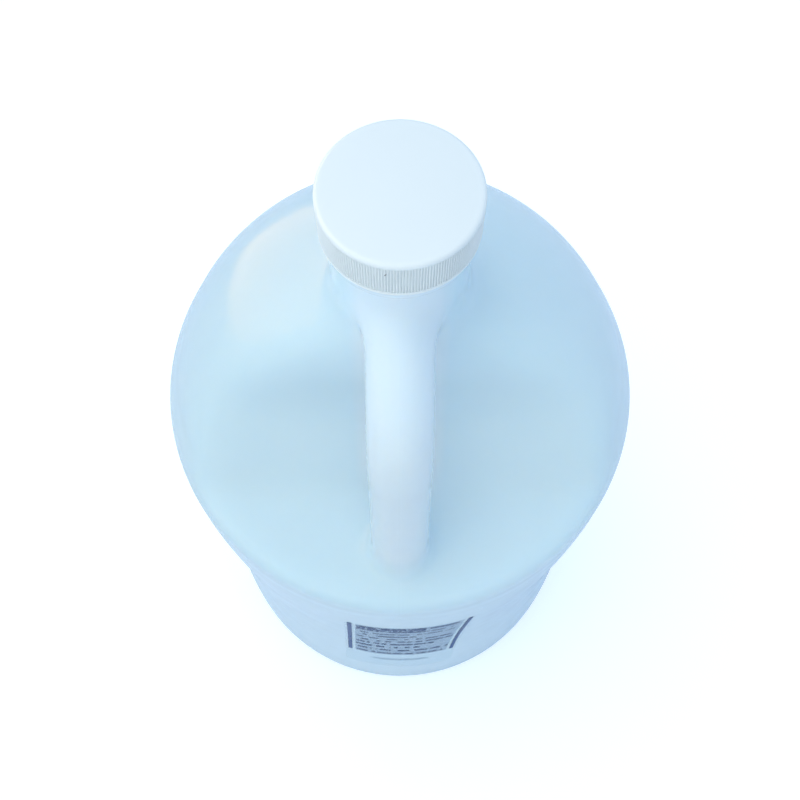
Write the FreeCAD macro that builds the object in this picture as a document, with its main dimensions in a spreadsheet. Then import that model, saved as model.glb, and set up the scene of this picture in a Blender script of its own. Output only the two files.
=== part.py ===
import FreeCAD, Part
import math
import os

import Sketcher

# A one-gallon round jug with a hollow handle moulded over a finger recess, closed by a ribbed
# 38 mm screw cap with a foam liner, and carrying one clear label on its front.
# +Z is up along the axis, the base ring stands on z = 0, the handle is towards -Y.

vector = FreeCAD.Vector
doc = FreeCAD.newDocument("Jug")

# Driving dimensions, in millimetres.
dimensions = {
    "closed_height": 300.0,    # base ring to the top of the closed cap
    "body_radius": 76.5,       # heel and shoulder bumpers
    "wall": 1.4,               # blow-moulded wall
    "heel_corner": 9.0,        # corner radius at the base
    "push_up": 6.0,            # height of the drawn-in base
    "push_up_radius": 50.0,
    "base_ring_radius": 61.0,  # inner edge of the ring that the jug stands on
    "waist_depth": 2.3,        # how far the label panel is drawn in
    "waist_start": 22.0,       # base to the lower end of the panel
    "waist_gap": 13.0,         # upper end of the panel to the shoulder
    "shoulder_drop": 121.0,    # top of the cap down to the shoulder, where the dome starts
    "dome_rise": 76.0,         # shoulder up to the top of the dome, as every rise below
    "dome_top_radius": 5.0,    # small flat that the neck covers
    "dome_fullness": 0.8,      # the dome arc's radius, as a share of its chord
    "ledge_rise": 10.0,        # recess ledge at the front rim
    "crease_rise": 16.0,       # recess ledge at the foot of the back wall
    "crease_depth": 40.5,      # from the axis forward to the crease
    "knee_rise": 43.0,         # where the back wall steepens
    "knee_spread": 3.0,        # the knee, outside the neck
    "wall_top_inset": 2.5,     # the back wall's top, inside the neck's outline
    "recess_edge": 6.0,        # rounding of the recess's edges
    "neck_rise": 67.0,         # the neck's buried lower end
    "neck_step": 0.6,          # neck below the bead, outside the finish wall
    "flare_spread": 9.0,       # where the neck's flare meets the dome, outside the neck
    "flare_rise": 83.0,
    "flare_radius": 15.0,
    "bead_spread": 1.9,        # transfer bead, outside the finish wall
    "bead_height": 2.4,
    "bead_gap": 0.8,           # cap skirt to bead
    "finish_radius": 17.4,     # outside of the neck wall behind the thread
    "finish_wall": 2.1,
    "thread_pitch": 4.233,     # six turns to the inch
    "thread_depth": 1.2,
    "thread_foot": 2.4,        # thread width at its root
    "thread_crest": 1.2,       # thread width at its crest
    "thread_turns": 1.5,
    "thread_low": 2.6,         # bead to the middle of the thread's lower end
    "thread_clearance": 0.25,  # crest to the opposite wall
    "thread_overlap": 0.4,     # how far a ridge is sunk into its wall
    "skirt_wall": 1.15,        # cap skirt, to the crest of its ribs
    "cap_height": 13.6,
    "cap_top": 1.5,
    "cap_edge": 1.2,           # rounding of the cap's top edge
    "cap_thread_foot": 2.0,
    "cap_thread_crest": 1.0,
    "cap_thread_turns": 1.25,
    "liner_thickness": 0.8,
    "liner_clearance": 0.5,    # liner edge to the cap's wall
    "seal_gap": 0.1,           # free play above and below the liner
    "handle_radius": 8.8,
    "handle_inset": 15.9,      # shoulder bumper in to the handle's line at its foot
    "handle_lean": 15.2,       # foot in to the bend
    "root_rise": 94.5,         # the handle's line on the jug's axis
    "bend_rise": 70.4,
    "bend_radius": 26.0,
    "foot_rise": 2.0,          # the handle's buried lower end
    "handle_fillet": 4.0,      # at the handle's foot on the ledge
    "label_width": 46.0,
    "label_height": 108.0,
    "label_rise": 3.0,         # middle of the panel up to the middle of the label
    "label_thickness": 0.15,
    "label_corner": 3.0,
    "label_tilt": 2.4,         # degrees, top leaning towards +X
    "label_shift": 1.4,        # sideways from the middle of the front
}

sheet = doc.addObject("Spreadsheet::Sheet", "Sizes")
for row, (word, number) in enumerate(dimensions.items(), start=1):
    sheet.set(f"A{row}", word)
    sheet.set(f"B{row}", str(number))
    sheet.setAlias(f"B{row}", word)
doc.recompute()


class Size:
    # A length with its value and the expression on the sheet that gives it.

    def __init__(self, value, text):
        self.value = value
        self.text = text

    def __add__(self, other):
        other = as_size(other)
        return Size(self.value + other.value, f"({self.text} + {other.text})")

    def __sub__(self, other):
        other = as_size(other)
        return Size(self.value - other.value, f"({self.text} - {other.text})")

    def __mul__(self, other):
        other = as_size(other)
        return Size(self.value * other.value, f"({self.text} * {other.text})")

    def __truediv__(self, other):
        other = as_size(other)
        return Size(self.value / other.value, f"({self.text} / {other.text})")

    def __neg__(self):
        return Size(-self.value, f"(0 - {self.text})")


def as_size(number):
    return number if isinstance(number, Size) else Size(float(number), str(number))


def root(size):
    return Size(math.sqrt(size.value), f"sqrt({size.text})")


def cell(word):
    return Size(dimensions[word], f"Sizes.{word}")


def bind(feature, prop, size):
    feature.setExpression(prop, as_size(size).text)


zero = as_size(0)


class Outline:
    # A sketch of lines and arcs through located points, every one bound to the sheet.

    def __init__(self, name, placement):
        self.sketch = doc.addObject("Sketcher::SketchObject", name)
        self.sketch.Placement = placement
        self.first = None
        self.last = None
        self.pen = None

    def locate(self, geo, end, x, y):
        for kind, size, axis in (("DistanceX", x, -2), ("DistanceY", y, -1)):
            if size.text == "0":
                self.sketch.addConstraint(Sketcher.Constraint("PointOnObject", geo, end, axis))
                continue
            made = self.sketch.addConstraint(Sketcher.Constraint(kind, -1, 1, geo, end, size.value))
            bind(self.sketch, f"Constraints[{made}]", size)

    def move(self, x, y):
        self.start = (as_size(x), as_size(y))
        self.pen = self.start

    def join(self, geo, head, tail, x, y, closing):
        if self.last is None:
            self.first = (geo, head)
            self.locate(geo, head, *self.pen)
        else:
            self.sketch.addConstraint(Sketcher.Constraint("Coincident", *self.last, geo, head))
        if closing:
            self.sketch.addConstraint(Sketcher.Constraint("Coincident", geo, tail, *self.first))
        else:
            self.locate(geo, tail, x, y)
        self.last = (geo, tail)
        self.pen = (x, y)

    def line(self, x, y, closing=False):
        x, y = as_size(x), as_size(y)
        here = vector(self.pen[0].value, self.pen[1].value, 0)
        segment = Part.LineSegment(here, vector(x.value, y.value, 0))
        geo = self.sketch.addGeometry(segment, False)
        self.join(geo, 1, 2, x, y, closing)

    def close(self):
        self.line(*self.start, closing=True)

    def arc(self, x, y, radius, left, closing=False):
        # left: the arc's centre is to the left of the way from the pen to (x, y)
        x, y = as_size(x), as_size(y)
        here = vector(self.pen[0].value, self.pen[1].value, 0)
        there = vector(x.value, y.value, 0)
        chord = there - here
        side = vector(-chord.y, chord.x, 0).normalize() * (1 if left else -1)
        reach = math.sqrt(radius.value**2 - (chord.Length / 2) ** 2)
        centre = (here + there) * 0.5 + side * reach
        head, tail = (here, there) if left else (there, here)
        turn_from = math.atan2(head.y - centre.y, head.x - centre.x)
        turn_to = math.atan2(tail.y - centre.y, tail.x - centre.x)
        circle = Part.Circle(centre, vector(0, 0, 1), radius.value)
        geo = self.sketch.addGeometry(Part.ArcOfCircle(circle, turn_from, turn_to), False)
        ends = (1, 2) if left else (2, 1)
        self.join(geo, *ends, x, y, closing)
        made = self.sketch.addConstraint(Sketcher.Constraint("Radius", geo, radius.value))
        bind(self.sketch, f"Constraints[{made}]", radius)


# Sketch X runs along +X and sketch Y along +Z.
upright = FreeCAD.Placement(vector(0, 0, 0), FreeCAD.Rotation(vector(1, 0, 0), 90))
# Sketch X runs along +Y and sketch Y along +Z.
sideways = FreeCAD.Placement(vector(0, 0, 0), FreeCAD.Rotation(vector(1, 1, 1), 120))


def revolved(name, outline):
    feature = doc.addObject("Part::Revolution", name)
    feature.Source = outline.sketch
    feature.Axis = vector(0, 0, 1)
    feature.Base = vector(0, 0, 0)
    feature.Angle = 360
    feature.Solid = True
    return feature


def extruded(name, outline, width):
    feature = doc.addObject("Part::Extrusion", name)
    feature.Base = outline.sketch
    feature.DirMode = "Normal"
    bind(feature, "LengthFwd", width)
    feature.Solid = True
    feature.Symmetric = True
    return feature


def cut(name, base, tool):
    feature = doc.addObject("Part::Cut", name)
    feature.Base = base
    feature.Tool = tool
    return feature


def fused(name, *shapes):
    feature = doc.addObject("Part::MultiFuse", name)
    feature.Shapes = list(shapes)
    feature.Refine = False
    return feature


def cylinder(name, radius, low, high):
    feature = doc.addObject("Part::Cylinder", name)
    bind(feature, "Radius", radius)
    bind(feature, "Height", high - low)
    bind(feature, "Placement.Base.z", low)
    return feature


def rounded(name, base, radius, chosen):
    # chosen picks the edges by where they lie, so they stay right when a size changes
    doc.recompute()
    feature = doc.addObject("Part::Fillet", name)
    feature.Base = base
    picked = [n for n, edge in enumerate(base.Shape.Edges, start=1) if chosen(edge)]
    if not picked:
        raise RuntimeError(f"{name}: no edge to round")
    feature.Edges = [(n, radius, radius) for n in picked]
    return feature


body_radius = cell("body_radius")
wall = cell("wall")
shoulder = cell("closed_height") - cell("shoulder_drop")
dome_top = shoulder + cell("dome_rise")
waist_end = shoulder - cell("waist_gap")
ledge_rim = shoulder + cell("ledge_rise")
crease = shoulder + cell("crease_rise")
knee = shoulder + cell("knee_rise")
neck_base = shoulder + cell("neck_rise")
flare_top = shoulder + cell("flare_rise")
cap_base = cell("closed_height") - cell("cap_height")
rim_height = cell("closed_height") - cell("cap_top") - cell("liner_thickness") - cell("seal_gap") * 2
bead_top = cap_base - cell("bead_gap")
finish_radius = cell("finish_radius")
neck_radius = finish_radius + cell("neck_step")
knee_depth = neck_radius + cell("knee_spread")
wall_top_depth = neck_radius - cell("wall_top_inset")
thread_crest_radius = finish_radius + cell("thread_depth")
cap_inside = thread_crest_radius + cell("thread_clearance")
cap_radius = cap_inside + cell("skirt_wall")
handle_radius = cell("handle_radius")
foot_reach = body_radius - cell("handle_inset")
handle_root = (zero, shoulder + cell("root_rise"))
handle_bend = (cell("handle_lean") - foot_reach, shoulder + cell("bend_rise"))
handle_foot = (-foot_reach, shoulder + cell("foot_rise"))


def dome_radius():
    reach = body_radius - cell("dome_top_radius")
    chord = root(reach * reach + cell("dome_rise") * cell("dome_rise"))
    return chord * cell("dome_fullness")


def body_form(name, inset):
    # the jug without neck, handle or recess, drawn in by inset
    flat = cell("push_up_radius")
    ring = cell("base_ring_radius")
    side = body_radius - inset
    corner = cell("heel_corner") - inset
    half_waist = (waist_end - cell("waist_start")) / 2
    depth = cell("waist_depth")
    waist_radius = (half_waist * half_waist + depth * depth) / (depth * 2)
    line = Outline(f"{name}_outline", upright)
    line.move(zero, cell("push_up") + inset)
    line.line(flat, cell("push_up") + inset)
    line.line(ring, inset)
    line.line(side - corner, inset)
    line.arc(side, inset + corner, corner, left=True)
    line.line(side, cell("waist_start"))
    line.arc(side, waist_end, waist_radius + inset, left=False)
    line.line(side, shoulder)
    line.arc(cell("dome_top_radius"), dome_top - inset, dome_radius() - inset, left=True)
    line.line(zero, dome_top - inset)
    line.close()
    return revolved(name, line)


def recess_form(name, inset):
    # the finger recess, open to the front, both sides and the top; a positive inset makes it larger
    reach = body_radius * 1.3
    ledge_slope = (crease - ledge_rim) / (body_radius - cell("crease_depth"))
    ledge_front = crease - ledge_slope * (reach - cell("crease_depth"))
    line = Outline(f"{name}_outline", sideways)
    line.move(-reach, ledge_front - inset)
    line.line(inset - cell("crease_depth"), crease - inset)
    line.line(inset - knee_depth, knee)
    line.line(inset - wall_top_depth, dome_top)
    line.line(inset - wall_top_depth, cell("closed_height"))
    line.line(-reach, cell("closed_height"))
    line.close()
    return extruded(name, line, body_radius * 2.6)


def handle_path():
    # root to bend to foot, in two straight runs joined by a tangent arc
    line = Outline("handle_path", sideways)
    sketch = line.sketch
    corner = flat_point(handle_bend)
    tips = [flat_point(handle_root), flat_point(handle_foot)]
    ways = [(tip - corner).normalize() for tip in tips]
    half_turn = math.acos(-ways[0].dot(ways[1])) / 2
    radius = cell("bend_radius")
    touch = [corner + way * radius.value * math.tan(half_turn) for way in ways]
    bisector = (ways[0] + ways[1]).normalize()
    middle = corner + bisector * (radius.value / math.cos(half_turn) - radius.value)
    upper = sketch.addGeometry(Part.LineSegment(tips[0], touch[0]), False)
    curve = sketch.addGeometry(Part.Arc(touch[0], middle, touch[1]), False)
    lower = sketch.addGeometry(Part.LineSegment(touch[1], tips[1]), False)
    point = sketch.addGeometry(Part.Point(corner), True)
    starts = sketch.Geometry[curve].StartPoint.distanceToPoint(touch[0]) < 1e-6
    near, far = (1, 2) if starts else (2, 1)
    sketch.addConstraint(Sketcher.Constraint("Tangent", upper, 2, curve, near))
    sketch.addConstraint(Sketcher.Constraint("Tangent", lower, 1, curve, far))
    line.locate(upper, 1, *handle_root)
    line.locate(lower, 2, *handle_foot)
    line.locate(point, 1, *handle_bend)
    sketch.addConstraint(Sketcher.Constraint("PointOnObject", point, 1, upper))
    sketch.addConstraint(Sketcher.Constraint("PointOnObject", point, 1, lower))
    made = sketch.addConstraint(Sketcher.Constraint("Radius", curve, radius.value))
    bind(sketch, f"Constraints[{made}]", radius)
    return sketch


def flat_point(pair):
    return vector(pair[0].value, pair[1].value, 0)


def handle_tube(name, path, radius):
    start = vector(0, 0, handle_root[1].value)
    heading = vector(0, handle_bend[0].value, handle_bend[1].value) - start
    ring = doc.addObject("Part::Circle", f"{name}_ring")
    bind(ring, "Radius", radius)
    ring.Placement = FreeCAD.Placement(start, FreeCAD.Rotation(vector(0, 0, 1), heading))
    bind(ring, "Placement.Base.z", handle_root[1])
    tube = doc.addObject("Part::Sweep", name)
    tube.Sections = [ring]
    tube.Spine = (path, ["Edge1", "Edge2", "Edge3"])
    tube.Solid = True
    tube.Frenet = False
    return tube


def thread(name, root_radius, crest_radius, foot, crest, turns, overlap, start_angle):
    # a helical ridge of trapezium section on the wall at root_radius, sunk into it by overlap
    pitch = cell("thread_pitch")
    low = bead_top + cell("thread_low")
    turned = FreeCAD.Placement(vector(0, 0, low.value), FreeCAD.Rotation(vector(0, 0, 1), start_angle))
    helix = doc.addObject("Part::Helix", f"{name}_helix")
    bind(helix, "Pitch", pitch)
    bind(helix, "Height", pitch * turns)
    bind(helix, "Radius", root_radius)
    helix.Placement = turned
    line = Outline(f"{name}_section", turned * upright)
    buried = root_radius - overlap
    line.move(buried, -foot / 2)
    line.line(root_radius, -foot / 2)
    line.line(crest_radius, -crest / 2)
    line.line(crest_radius, crest / 2)
    line.line(root_radius, foot / 2)
    line.line(buried, foot / 2)
    line.close()
    for item in (helix, line.sketch):
        bind(item, "Placement.Base.z", low)
    ridge = doc.addObject("Part::Sweep", name)
    ridge.Sections = [line.sketch]
    ridge.Spine = (helix, [])
    ridge.Solid = True
    ridge.Frenet = True
    return ridge


def neck_form():
    line = Outline("neck_outline", upright)
    bead_base = bead_top - cell("bead_height")
    bead_radius = finish_radius + cell("bead_spread")
    line.move(zero, neck_base)
    line.line(neck_radius, neck_base)
    line.line(neck_radius, bead_base)
    line.line(bead_radius, bead_base)
    line.line(bead_radius, bead_top)
    line.line(finish_radius, bead_top)
    line.line(finish_radius, rim_height)
    line.line(zero, rim_height)
    line.close()
    return revolved("neck_form", line)


def neck_flare():
    # the sweep from the dome up into the neck, which stops at the recess's back wall
    line = Outline("flare_outline", upright)
    line.move(zero, neck_base)
    line.line(neck_radius + cell("flare_spread"), neck_base)
    line.arc(neck_radius, flare_top, cell("flare_radius"), left=False)
    line.line(zero, flare_top)
    line.close()
    return revolved("flare_form", line)


def neck_thread():
    return thread(
        "neck_thread", finish_radius, thread_crest_radius, cell("thread_foot"), cell("thread_crest"),
        cell("thread_turns"), cell("thread_overlap"), 0,
    )


def on_recess_edge(edge):
    # where the recess's ledge and back wall leave the dome: long curved edges, never the straight ones
    box = edge.BoundBox
    high = box.ZMax > ledge_rim.value - 4
    wide = box.XLength > body_radius.value * 0.5
    return high and wide and box.YLength > 0.01


def on_handle_foot(edge):
    # the closed join between the handle and the ledge
    box = edge.BoundBox
    size = handle_radius.value * 2
    narrow = size * 0.8 < box.XLength < size * 1.05
    on_ledge = box.ZMax < crease.value and box.YMax < -cell("crease_depth").value
    return narrow and on_ledge and box.ZMin > ledge_rim.value - size


def make_jug():
    recess = recess_form("recess", zero)
    hull = cut("hull_recessed", body_form("hull_form", zero), recess)
    hull = rounded("hull_rounded", hull, cell("recess_edge").value, on_recess_edge)
    flare = cut("flare_recessed", neck_flare(), recess)
    path = handle_path()
    handle = handle_tube("handle_form", path, handle_radius)
    outer = fused("jug_outer", hull, flare, neck_form(), handle)
    outer = rounded("jug_rounded", outer, cell("handle_fillet").value, on_handle_foot)
    cavity = cut("cavity_recessed", body_form("cavity_form", wall), recess_form("recess_cavity", wall))
    hollow = handle_tube("handle_hollow", path, handle_radius - wall)
    bore = cylinder("bore", finish_radius - cell("finish_wall"), neck_base - wall * 2, rim_height + wall)
    inner = fused("jug_inner", cavity, hollow, bore)
    shell = cut("jug_shell", outer, inner)
    return fused("jug_body", shell, cut("thread_clear_of_bore", neck_thread(), bore))


def make_cap():
    top = cell("closed_height")
    line = Outline("cap_outline", upright)
    line.move(zero, top - cell("cap_top"))
    line.line(cap_inside, top - cell("cap_top"))
    line.line(cap_inside, cap_base)
    line.line(cap_radius, cap_base)
    line.line(cap_radius, top - cell("cap_edge"))
    line.arc(cap_radius - cell("cap_edge"), top, cell("cap_edge"), left=True)
    line.line(zero, top)
    line.close()
    ridge = thread(
        "cap_thread", cap_inside, finish_radius + cell("thread_clearance"), cell("cap_thread_foot"),
        cell("cap_thread_crest"), cell("cap_thread_turns"), -cell("thread_overlap"), 180,
    )
    return fused("cap", revolved("cap_form", line), ridge)


def make_liner():
    low = rim_height + cell("seal_gap")
    return cylinder("cap_liner", cap_inside - cell("liner_clearance"), low, low + cell("liner_thickness"))


def make_label():
    # a thin film on the front panel: the panel's own surface, label_thickness deep, trimmed to size
    tilted = FreeCAD.Rotation(vector(0, 1, 0), dimensions["label_tilt"]) * upright.Rotation
    line = Outline("label_outline", FreeCAD.Placement(vector(0, 0, 0), tilted))
    half_width = cell("label_width") / 2
    half_height = cell("label_height") / 2
    corner = cell("label_corner")
    line.move(corner - half_width, -half_height)
    line.line(half_width - corner, -half_height)
    line.arc(half_width, corner - half_height, corner, left=True)
    line.line(half_width, half_height - corner)
    line.arc(half_width - corner, half_height, corner, left=True)
    line.line(corner - half_width, half_height)
    line.arc(-half_width, half_height - corner, corner, left=True)
    line.line(-half_width, corner - half_height)
    line.arc(corner - half_width, -half_height, corner, left=True, closing=True)
    bind(line.sketch, "Placement.Base.x", cell("label_shift"))
    bind(line.sketch, "Placement.Base.z", (cell("waist_start") + waist_end) / 2 + cell("label_rise"))
    block = doc.addObject("Part::Extrusion", "label_block")
    block.Base = line.sketch
    block.DirMode = "Normal"
    bind(block, "LengthFwd", body_radius * 1.2)
    block.Solid = True
    film = cut("film", body_form("film_form", -cell("label_thickness")), body_form("panel_form", zero))
    label = doc.addObject("Part::Common", "label")
    label.Base = film
    label.Tool = block
    return label


def check_document():
    for item in doc.Objects:
        if "Invalid" in item.State or "Error" in item.State:
            raise RuntimeError(f"{item.Name} was not built: {item.State}")


def write(feature, name):
    feature.Label = name
    shape = feature.Shape
    if shape.isNull() or not shape.isValid() or not shape.Solids:
        raise RuntimeError(f"{name} has no valid solid")
    shape.exportStep(f"parts/{name}.step")
    print(f"{name}: {len(shape.Solids)} solid, {shape.Volume / 1000:.1f} cm3")


made = {
    "jug_body": make_jug(),
    "cap": make_cap(),
    "cap_liner": make_liner(),
    "label": make_label(),
}
doc.recompute()
check_document()
os.makedirs("parts", exist_ok=True)
for name, feature in made.items():
    write(feature, name)
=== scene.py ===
import math

import bmesh
import bpy
from mathutils import Matrix, Vector


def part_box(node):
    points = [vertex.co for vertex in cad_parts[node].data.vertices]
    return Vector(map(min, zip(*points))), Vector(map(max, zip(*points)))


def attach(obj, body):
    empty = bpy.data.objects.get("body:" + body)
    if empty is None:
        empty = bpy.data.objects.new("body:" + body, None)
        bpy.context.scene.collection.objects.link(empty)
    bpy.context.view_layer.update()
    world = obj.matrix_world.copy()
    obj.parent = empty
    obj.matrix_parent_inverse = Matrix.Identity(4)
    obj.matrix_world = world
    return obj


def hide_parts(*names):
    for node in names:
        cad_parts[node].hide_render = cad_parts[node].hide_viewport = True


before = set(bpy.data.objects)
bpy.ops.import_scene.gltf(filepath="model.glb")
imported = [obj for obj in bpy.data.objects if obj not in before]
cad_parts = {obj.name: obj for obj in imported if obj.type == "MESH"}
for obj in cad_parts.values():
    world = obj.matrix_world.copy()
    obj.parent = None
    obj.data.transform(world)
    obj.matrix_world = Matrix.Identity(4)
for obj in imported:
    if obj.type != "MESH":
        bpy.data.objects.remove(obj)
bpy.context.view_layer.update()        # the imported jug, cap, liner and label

mm = 0.001
fullTurn = 2 * math.pi
world = bpy.context.scene.collection
jugLow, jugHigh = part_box("jug_body")
capLow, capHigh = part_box("cap")
linerLow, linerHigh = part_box("cap_liner")
shoulder = capHigh.z - 121 * mm    # where the dome starts, as in the CAD
rim = jugHigh.z
print("frame loaded, closed height", round(capHigh.z, 4))


# arithmetic on node sockets, for both geometry and shader trees
class Field:
    tree = None

    def __init__(self, socket):
        self.socket = socket

    def __add__(self, other):
        return mathNode("ADD", self, other)

    def __radd__(self, other):
        return mathNode("ADD", other, self)

    def __sub__(self, other):
        return mathNode("SUBTRACT", self, other)

    def __rsub__(self, other):
        return mathNode("SUBTRACT", other, self)

    def __mul__(self, other):
        return mathNode("MULTIPLY", self, other)

    def __rmul__(self, other):
        return mathNode("MULTIPLY", other, self)

    def __truediv__(self, other):
        return mathNode("DIVIDE", self, other)

    def __neg__(self):
        return mathNode("MULTIPLY", self, -1.0)


def plug(socket, value):
    if isinstance(value, Field):
        Field.tree.links.new(value.socket, socket)
    elif isinstance(value, bpy.types.NodeSocket):
        Field.tree.links.new(value, socket)
    else:
        socket.default_value = value


def mathNode(operation, *values):
    node = Field.tree.nodes.new("ShaderNodeMath")
    node.operation = operation
    for socket, value in zip(node.inputs, values):
        plug(socket, value)
    return Field(node.outputs[0])


def lesser(a, b, blend=None):
    return mathNode("MINIMUM", a, b) if blend is None else mathNode("SMOOTH_MIN", a, b, blend)


def greater(a, b, blend=None):
    return mathNode("MAXIMUM", a, b) if blend is None else mathNode("SMOOTH_MAX", a, b, blend)


def limited(a):
    return lesser(greater(a, 0.0), 1.0)


def hypotenuse(a, b):
    return mathNode("SQRT", a * a + b * b)


def cosineBump(a):
    # 0 at both ends of 0..1 and 1 in the middle
    return (1.0 - mathNode("COSINE", limited(a) * fullTurn)) * 0.5


def combined(x, y, z):
    node = Field.tree.nodes.new("ShaderNodeCombineXYZ")
    for socket, value in zip(node.inputs, (x, y, z)):
        plug(socket, value)
    return node.outputs[0]


def separated(vector):
    node = Field.tree.nodes.new("ShaderNodeSeparateXYZ")
    plug(node.inputs[0], vector)
    return [Field(output) for output in node.outputs]


def newTree(name, kind, inputs, outputs):
    # inputs and outputs: socket name to socket type
    tree = bpy.data.node_groups.new(name, kind)
    Field.tree = tree
    for name, word in inputs.items():
        tree.interface.new_socket(name, in_out="INPUT", socket_type="NodeSocket" + word)
    for name, word in outputs.items():
        tree.interface.new_socket(name, in_out="OUTPUT", socket_type="NodeSocket" + word)
    return tree, tree.nodes.new("NodeGroupInput").outputs, tree.nodes.new("NodeGroupOutput").inputs


def madeMesh(name, base, tree, values):
    # runs a geometry tree on the base mesh and keeps only the plain result
    start = bpy.data.objects.new(name + "Start", base)
    world.objects.link(start)
    modifier = start.modifiers.new(name, "NODES")
    modifier.node_group = tree
    for item in tree.interface.items_tree:
        if item.in_out == "INPUT" and item.name in values:
            modifier[item.identifier] = values[item.name]
    graph = bpy.context.evaluated_depsgraph_get()
    mesh = bpy.data.meshes.new_from_object(start.evaluated_get(graph))
    bpy.data.objects.remove(start)
    mesh.name = name
    return mesh


def shownPiece(name, mesh, body, slot, *nodes):
    piece = bpy.data.objects.new(name, mesh)
    world.objects.link(piece)
    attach(piece, body)
    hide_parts(*nodes)
    print(name, len(mesh.polygons), "faces")
    return piece


def softShaded(mesh, angle):
    mesh.shade_smooth()
    mesh.set_sharp_from_angle(angle=math.radians(angle))


# turned shapes: a path of (radius, height, corner radius), rounded, then divided
def roundedPath(corners, arcSteps=4):
    points = [Vector(corner[:2]) for corner in corners]
    path = [points[0]]
    for before, here, after, corner in zip(points, points[1:], points[2:], corners[1:]):
        inward = (before - here).normalized()
        outward = (after - here).normalized()
        half = inward.angle(outward) / 2
        reach = corner[2] / math.tan(half)
        middle = here + (inward + outward).normalized() * (corner[2] / math.sin(half))
        first = here + inward * reach - middle
        last = here + outward * reach - middle
        sweep = first.angle_signed(last)
        for step in range(arcSteps + 1):
            turned = first.copy()
            turned.rotate(Matrix.Rotation(-sweep * step / arcSteps, 2))
            path.append(middle + turned)
    return path + [points[-1]]


def divided(path, longest, low, high):
    # extra points where the thread runs, between the heights low and high
    result = [path[0]]
    for here, there in zip(path, path[1:]):
        inside = low - mm < min(here.y, there.y) and max(here.y, there.y) < high + mm
        parts = math.ceil((there - here).length / longest) if inside else 1
        result += [here.lerp(there, step / parts) for step in range(1, parts + 1)]
    return result


def turnedSurface(mesh, path, columns, stretch=None):
    # stretch(angle, radius, height) gives the radius to use; returns the rings
    rings = []
    for radius, height in path:
        if radius < 1e-7:
            rings.append([mesh.verts.new((0, 0, height))])
            continue
        ring = []
        for column in range(columns):
            angle = fullTurn * column / columns
            here = stretch(angle, radius, height) if stretch else radius
            ring.append(mesh.verts.new((here * math.cos(angle), here * math.sin(angle), height)))
        rings.append(ring)
    for lower, upper in zip(rings, rings[1:]):
        for column in range(columns):
            following = (column + 1) % columns
            corners = [lower[column % len(lower)], lower[following % len(lower)],
                       upper[following % len(upper)], upper[column % len(upper)]]
            mesh.faces.new(dict.fromkeys(corners))
    return rings


def zipRings(mesh, first, second):
    # joins two rings of different counts, walking round both by angle
    def byAngle(ring):
        return sorted((math.atan2(v.co.y, v.co.x) % fullTurn, n, v) for n, v in enumerate(ring))

    rings = [byAngle(first), byAngle(second)]
    for ring in rings:
        ring.append((ring[0][0] + fullTurn, 0, ring[0][2]))
    at = [0, 0]
    while at[0] < len(rings[0]) - 1 or at[1] < len(rings[1]) - 1:
        ahead = [rings[n][at[n] + 1][0] if at[n] < len(rings[n]) - 1 else math.inf for n in (0, 1)]
        side = 0 if ahead[0] < ahead[1] else 1
        here = rings[side][at[side]][2]
        there = rings[side][at[side] + 1][2]
        mesh.faces.new((here, there, rings[1 - side][at[1 - side]][2]))
        at[side] += 1


def threadHeight(angle, height, thread):
    # how far a right-hand helical ridge stands out of its wall
    best = 0
    turn = ((angle - thread["start"]) % fullTurn) / fullTurn
    while turn <= thread["turns"]:
        middle = thread["low"] + thread["pitch"] * turn
        flank = (thread["foot"] - thread["crest"]) / 2
        side = (thread["foot"] / 2 - abs(height - middle)) / flank
        end = min(turn, thread["turns"] - turn) / thread["fade"]
        best = max(best, min(max(side, 0), 1) * min(max(end, 0), 1))
        turn += 1
    return best * best * (3 - 2 * best) * thread["depth"]


# the jug's moulded skin, as a distance that geometry nodes turn into a surface
jugSizes = {
    "bodyRadius": jugHigh.x - 0.05 * mm,
    "waistDepth": 2.3 * mm,
    "waistLow": 12 * mm,
    "waistHigh": shoulder - 3 * mm,
    "domeBase": shoulder - 7 * mm,
    "domeRadius": 83.5 * mm,
    "heelBlend": 14 * mm,
    "pushUpRadius": jugHigh.x - 19.5 * mm,
    "pushUp": 6 * mm,
    "dishBlend": 10 * mm,
    "baseBlend": 6 * mm,
    "bumper": 1 * mm,              # the shoulder's slight swelling
    "bumperHeight": shoulder + 10 * mm,
    "bumperReach": 14 * mm,
    "ledgeRim": shoulder + 10 * mm,
    "creaseHeight": shoulder + 16 * mm,
    "creaseDepth": 40.5 * mm,
    "creaseBlend": 6 * mm,
    "kneeHeight": shoulder + 43 * mm,
    "kneeDepth": 21 * mm,
    "kneeBlend": 6 * mm,
    "wallTopHeight": shoulder + 76 * mm,
    "wallTopDepth": 15.5 * mm,
    "edgeBlend": 8 * mm,           # rounding of the recess's edges, low on the arch
    "archBlend": 14 * mm,          # what it gains towards the arch's top
    "archRise": 0.6,               # how much of that it has gained at the knee
    "neckRadius": 18 * mm,
    "neckBase": shoulder + 50 * mm,
    "neckBlend": 16 * mm,
    "handleRadius": 8.6 * mm,
    "handleGrow": 0.6 * mm,        # thicker towards the neck
    "handleBlend": 9 * mm,
    "rootHeight": shoulder + 94.5 * mm,
    "bendReach": jugHigh.x - 31.1 * mm,
    "bendHeight": shoulder + 70.4 * mm,
    "bendRadius": 26 * mm,
    "footReach": jugHigh.x - 15.9 * mm,
    "footHeight": shoulder + 2 * mm,
    "neckWallStart": shoulder + 71 * mm,
    "neckWallReach": 25 * mm,
}
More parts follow.
